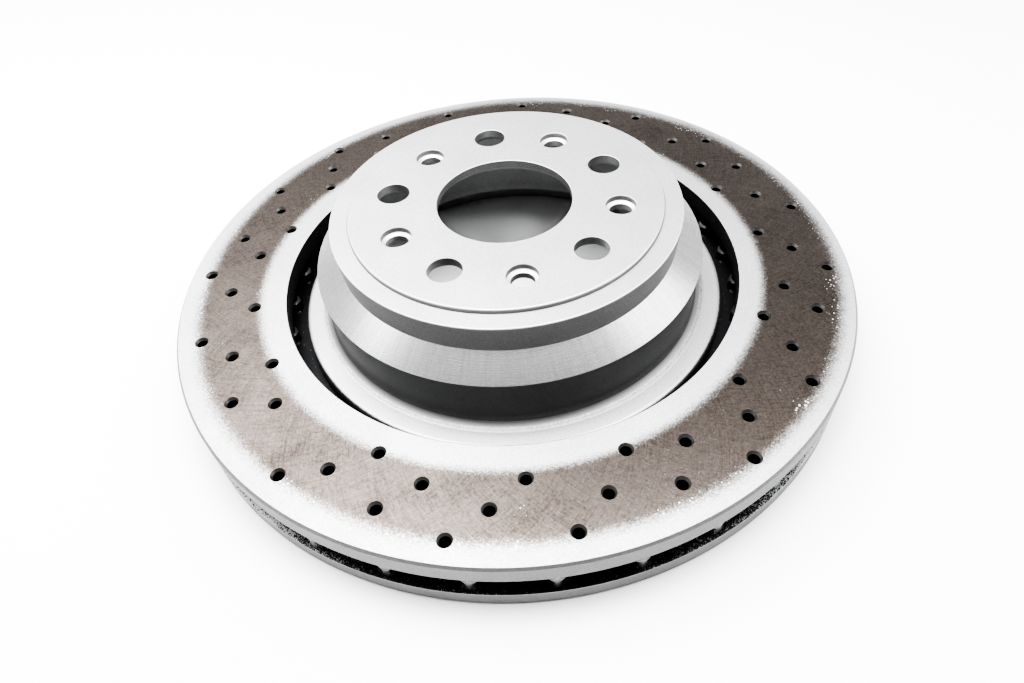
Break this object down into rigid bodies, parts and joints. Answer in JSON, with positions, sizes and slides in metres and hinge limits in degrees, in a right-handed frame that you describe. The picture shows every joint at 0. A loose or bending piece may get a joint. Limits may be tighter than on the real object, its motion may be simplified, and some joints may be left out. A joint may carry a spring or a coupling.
{
  "type": "brake disc",
  "caption": "Ventilated cross-drilled brake disc with a tall hat, a centre bore, wheel bolt holes and a drum inside the hat for a parking brake.",
  "frame": {"origin": "on the disc's axis, in the plane of the inboard friction face, which is also the face it lies on", "axes": "+Z along the disc's axis towards the wheel side, +X to the right and +Y away from the viewer"},
  "size_m": [0.365, 0.365, 0.074],
  "materials": {
    "zinc_coating": "satin silver zinc-flake coating over cast iron",
    "turned_coating": "fine lathe-turned iron under a thin silver coating",
    "ground_iron": "bare ground grey iron with a crossed grinding pattern, silver overspray towards both edges",
    "cast_channel": "rough sand-cast iron with silver overspray flecks"
  },
  "bodies": {
    "root": {"mounting_flange": "zinc_coating", "hat_barrel": "turned_coating", "drum_wall": "zinc_coating", "hat_foot": "zinc_coating", "outboard_plate": "ground_iron", "inboard_plate": "ground_iron", "vane_01": "cast_channel", "vane_02": "cast_channel", "vane_03": "cast_channel", "vane_04": "cast_channel", "vane_05": "cast_channel", "vane_06": "cast_channel", "vane_07": "cast_channel", "vane_08": "cast_channel", "vane_09": "cast_channel", "vane_10": "cast_channel", "vane_11": "cast_channel", "vane_12": "cast_channel", "vane_13": "cast_channel", "vane_14": "cast_channel", "vane_15": "cast_channel", "vane_16": "cast_channel", "vane_17": "cast_channel", "vane_18": "cast_channel", "vane_19": "cast_channel", "vane_20": "cast_channel", "vane_21": "cast_channel", "vane_22": "cast_channel", "vane_23": "cast_channel", "vane_24": "cast_channel", "vane_25": "cast_channel", "vane_26": "cast_channel", "vane_27": "cast_channel", "vane_28": "cast_channel", "vane_29": "cast_channel", "vane_30": "cast_channel", "vane_31": "cast_channel"}
  },
  "joints": []
}
